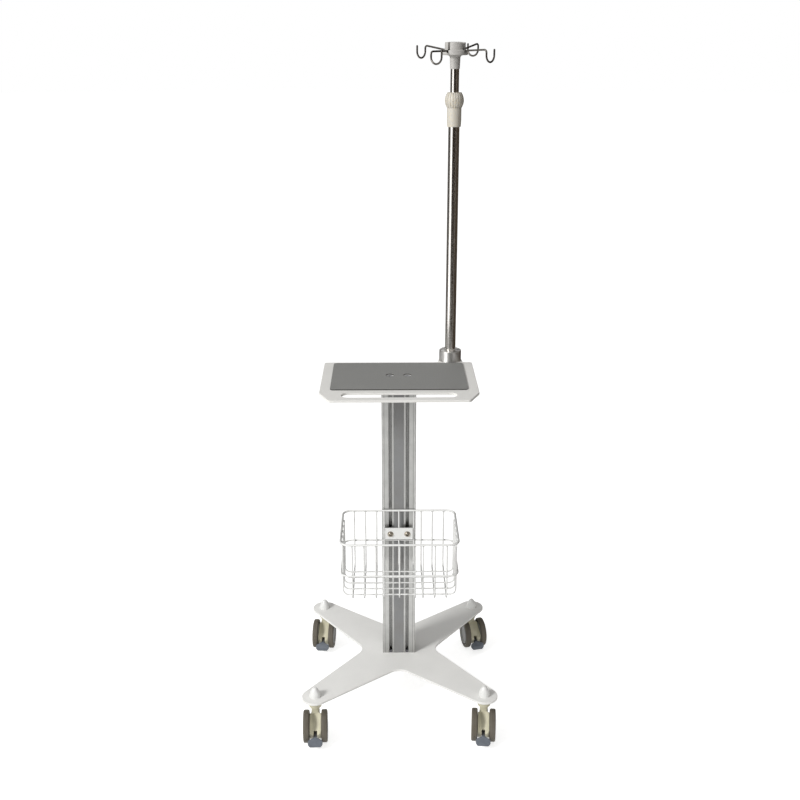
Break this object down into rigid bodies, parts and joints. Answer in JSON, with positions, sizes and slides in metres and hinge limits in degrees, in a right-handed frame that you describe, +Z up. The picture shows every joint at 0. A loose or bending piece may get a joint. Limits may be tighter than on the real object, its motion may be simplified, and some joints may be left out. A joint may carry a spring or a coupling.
{
  "type": "ultrasound machine stand",
  "caption": "Rolling instrument stand: star base on braked twin casters, slotted column, tray with handle slot, telescopic pole with folding hooks, wire basket.",
  "frame": {"origin": "on the floor, at the centre of the stand's footprint box (bounding-box bottom centre)", "axes": "+Z up along the column; the stand faces -Y, the side of the handle slot and the basket; +X to its right as seen from the front, the side of the pole"},
  "size_m": [0.466, 0.497, 1.545],
  "materials": {
    "white_enamel": "semi-gloss light warm grey enamel",
    "zinc_steel": "zinc-plated steel",
    "white_plastic": "satin white cap",
    "anodised_aluminium": "natural anodised, fine lengthwise grain",
    "grey_strip": "matt grey cover strip",
    "mat_rubber": "matt dark grey sheet",
    "turned_aluminium": "turned, satin",
    "stainless_tube": "polished stainless tube",
    "ivory_plastic": "ivory, fine satin",
    "guide_plastic": "black guide plastic",
    "head_plastic": "light grey, satin gloss",
    "white_wire": "white coated wire",
    "nickel_screw": "nickel-plated steel",
    "stainless_wire": "polished stainless wire",
    "cream_plastic": "cream moulded nylon",
    "slate_plastic": "slate blue-grey moulding",
    "hub_plastic": "light grey moulding",
    "tread_rubber": "warm dark grey tread"
  },
  "bodies": {
    "trolley": {"base_plate": "white_enamel", "caster_stems": "zinc_steel", "stem_nuts": "zinc_steel", "nut_caps": "white_plastic", "column": "anodised_aluminium", "column_strips": "grey_strip", "base_bolts": "zinc_steel", "tray_plate": "white_enamel", "tray_mat": "mat_rubber", "tray_screws": "zinc_steel", "pole_socket": "turned_aluminium", "socket_screws": "zinc_steel", "outer_pole": "stainless_tube", "lock_sleeve": "ivory_plastic", "lock_collet": "guide_plastic", "basket_rim": "white_wire", "basket_band": "white_wire", "basket_long_wires": "white_wire", "basket_cross_wires": "white_wire", "basket_bracket": "white_wire", "basket_screws": "nickel_screw", "slot_nuts": "zinc_steel"},
    "lock_knob": {"lock_knob": "ivory_plastic"},
    "sliding_pole": {"inner_pole": "stainless_tube", "pole_foot": "guide_plastic", "hook_head": "head_plastic", "hook_pins": "zinc_steel"},
    "front_left_caster": {"front_left_housing": "cream_plastic", "front_left_axle": "zinc_steel"},
    "front_left_wheel_left": {"front_left_hub_left": "hub_plastic", "front_left_tyre_left": "tread_rubber"},
    "front_left_wheel_right": {"front_left_hub_right": "hub_plastic", "front_left_tyre_right": "tread_rubber"},
    "front_left_brake": {"front_left_pedal": "slate_plastic"},
    "front_right_caster": {"front_right_housing": "cream_plastic", "front_right_axle": "zinc_steel"},
    "front_right_wheel_left": {"front_right_hub_left": "hub_plastic", "front_right_tyre_left": "tread_rubber"},
    "front_right_wheel_right": {"front_right_hub_right": "hub_plastic", "front_right_tyre_right": "tread_rubber"},
    "front_right_brake": {"front_right_pedal": "slate_plastic"},
    "rear_left_caster": {"rear_left_housing": "cream_plastic", "rear_left_axle": "zinc_steel"},
    "rear_left_wheel_left": {"rear_left_hub_left": "hub_plastic", "rear_left_tyre_left": "tread_rubber"},
    "rear_left_wheel_right": {"rear_left_hub_right": "hub_plastic", "rear_left_tyre_right": "tread_rubber"},
    "rear_left_brake": {"rear_left_pedal": "slate_plastic"},
    "rear_right_caster": {"rear_right_housing": "cream_plastic", "rear_right_axle": "zinc_steel"},
    "rear_right_wheel_left": {"rear_right_hub_left": "hub_plastic", "rear_right_tyre_left": "tread_rubber"},
    "rear_right_wheel_right": {"rear_right_hub_right": "hub_plastic", "rear_right_tyre_right": "tread_rubber"},
    "rear_right_brake": {"rear_right_pedal": "slate_plastic"},
    "hook_1": {"hook_1": "stainless_wire"},
    "hook_2": {"hook_2": "stainless_wire"},
    "hook_3": {"hook_3": "stainless_wire"},
    "hook_4": {"hook_4": "stainless_wire"}
  },
  "joints": [
    {"name": "front_left_swivel", "type": "hinge", "parent": "trolley", "child": "front_left_caster", "pos_m": [-0.20112, -0.17752, 0.09], "axis": [0, 0, 1], "continuous": true},
    {"name": "front_left_wheel_left_spin", "type": "hinge", "parent": "front_left_caster", "child": "front_left_wheel_left", "pos_m": [-0.20036, -0.19951, 0.0375], "axis": [0.9994, 0.0349, 0], "continuous": true},
    {"name": "front_left_wheel_right_spin", "type": "hinge", "parent": "front_left_caster", "child": "front_left_wheel_right", "pos_m": [-0.20036, -0.19951, 0.0375], "axis": [0.9994, 0.0349, 0], "continuous": true},
    {"name": "front_left_brake_press", "type": "hinge", "parent": "front_left_caster", "child": "front_left_brake", "pos_m": [-0.19987, -0.2135, 0.024], "axis": [0.9994, 0.0349, 0], "range_deg": [0, 12]},
    {"name": "front_right_swivel", "type": "hinge", "parent": "trolley", "child": "front_right_caster", "pos_m": [0.19387, -0.17752, 0.09], "axis": [0, 0, 1], "continuous": true},
    {"name": "front_right_wheel_left_spin", "type": "hinge", "parent": "front_right_caster", "child": "front_right_wheel_left", "pos_m": [0.19196, -0.19944, 0.0375], "axis": [0.9962, -0.0872, 0], "continuous": true},
    {"name": "front_right_wheel_right_spin", "type": "hinge", "parent": "front_right_caster", "child": "front_right_wheel_right", "pos_m": [0.19196, -0.19944, 0.0375], "axis": [0.9962, -0.0872, 0], "continuous": true},
    {"name": "front_right_brake_press", "type": "hinge", "parent": "front_right_caster", "child": "front_right_brake", "pos_m": [0.19074, -0.21339, 0.024], "axis": [0.9962, -0.0872, 0], "range_deg": [0, 12]},
    {"name": "rear_left_swivel", "type": "hinge", "parent": "trolley", "child": "rear_left_caster", "pos_m": [-0.20112, 0.21748, 0.09], "axis": [0, 0, 1], "continuous": true},
    {"name": "rear_left_wheel_left_spin", "type": "hinge", "parent": "rear_left_caster", "child": "rear_left_wheel_left", "pos_m": [-0.20266, 0.19553, 0.0375], "axis": [0.9976, -0.0698, 0], "continuous": true},
    {"name": "rear_left_wheel_right_spin", "type": "hinge", "parent": "rear_left_caster", "child": "rear_left_wheel_right", "pos_m": [-0.20266, 0.19553, 0.0375], "axis": [0.9976, -0.0698, 0], "continuous": true},
    {"name": "rear_left_brake_press", "type": "hinge", "parent": "rear_left_caster", "child": "rear_left_brake", "pos_m": [-0.20364, 0.18157, 0.024], "axis": [0.9976, -0.0698, 0], "range_deg": [0, 12]},
    {"name": "rear_right_swivel", "type": "hinge", "parent": "trolley", "child": "rear_right_caster", "pos_m": [0.19387, 0.21748, 0.09], "axis": [0, 0, 1], "continuous": true},
    {"name": "rear_right_wheel_left_spin", "type": "hinge", "parent": "rear_right_caster", "child": "rear_right_wheel_left", "pos_m": [0.19845, 0.19596, 0.0375], "axis": [0.9781, 0.2079, 0], "continuous": true},
    {"name": "rear_right_wheel_right_spin", "type": "hinge", "parent": "rear_right_caster", "child": "rear_right_wheel_right", "pos_m": [0.19845, 0.19596, 0.0375], "axis": [0.9781, 0.2079, 0], "continuous": true},
    {"name": "rear_right_brake_press", "type": "hinge", "parent": "rear_right_caster", "child": "rear_right_brake", "pos_m": [0.20136, 0.18226, 0.024], "axis": [0.9781, 0.2079, 0], "range_deg": [0, 12]},
    {"name": "pole_slide", "type": "slide", "parent": "trolley", "child": "sliding_pole", "axis": [0, 0, 1], "range_m": [-0.045, 0.4]},
    {"name": "lock_twist", "type": "hinge", "parent": "trolley", "child": "lock_knob", "pos_m": [0.12037, 0.13998, 1.4225], "axis": [0, 0, 1], "range_deg": [0, 60]},
    {"name": "hook_1_fold", "type": "hinge", "parent": "sliding_pole", "child": "hook_1", "pos_m": [0.1332, 0.12882, 1.5264], "axis": [-0.6561, -0.7547, 0], "range_deg": [0, 85]},
    {"name": "hook_2_fold", "type": "hinge", "parent": "sliding_pole", "child": "hook_2", "pos_m": [0.13153, 0.15281, 1.5264], "axis": [0.7547, -0.6561, 0], "range_deg": [0, 75]},
    {"name": "hook_3_fold", "type": "hinge", "parent": "sliding_pole", "child": "hook_3", "pos_m": [0.10755, 0.15113, 1.5264], "axis": [0.6561, 0.7547, 0], "range_deg": [0, 79]},
    {"name": "hook_4_fold", "type": "hinge", "parent": "sliding_pole", "child": "hook_4", "pos_m": [0.10922, 0.12715, 1.5264], "axis": [-0.7547, 0.6561, 0], "range_deg": [0, 88]}
  ]
}
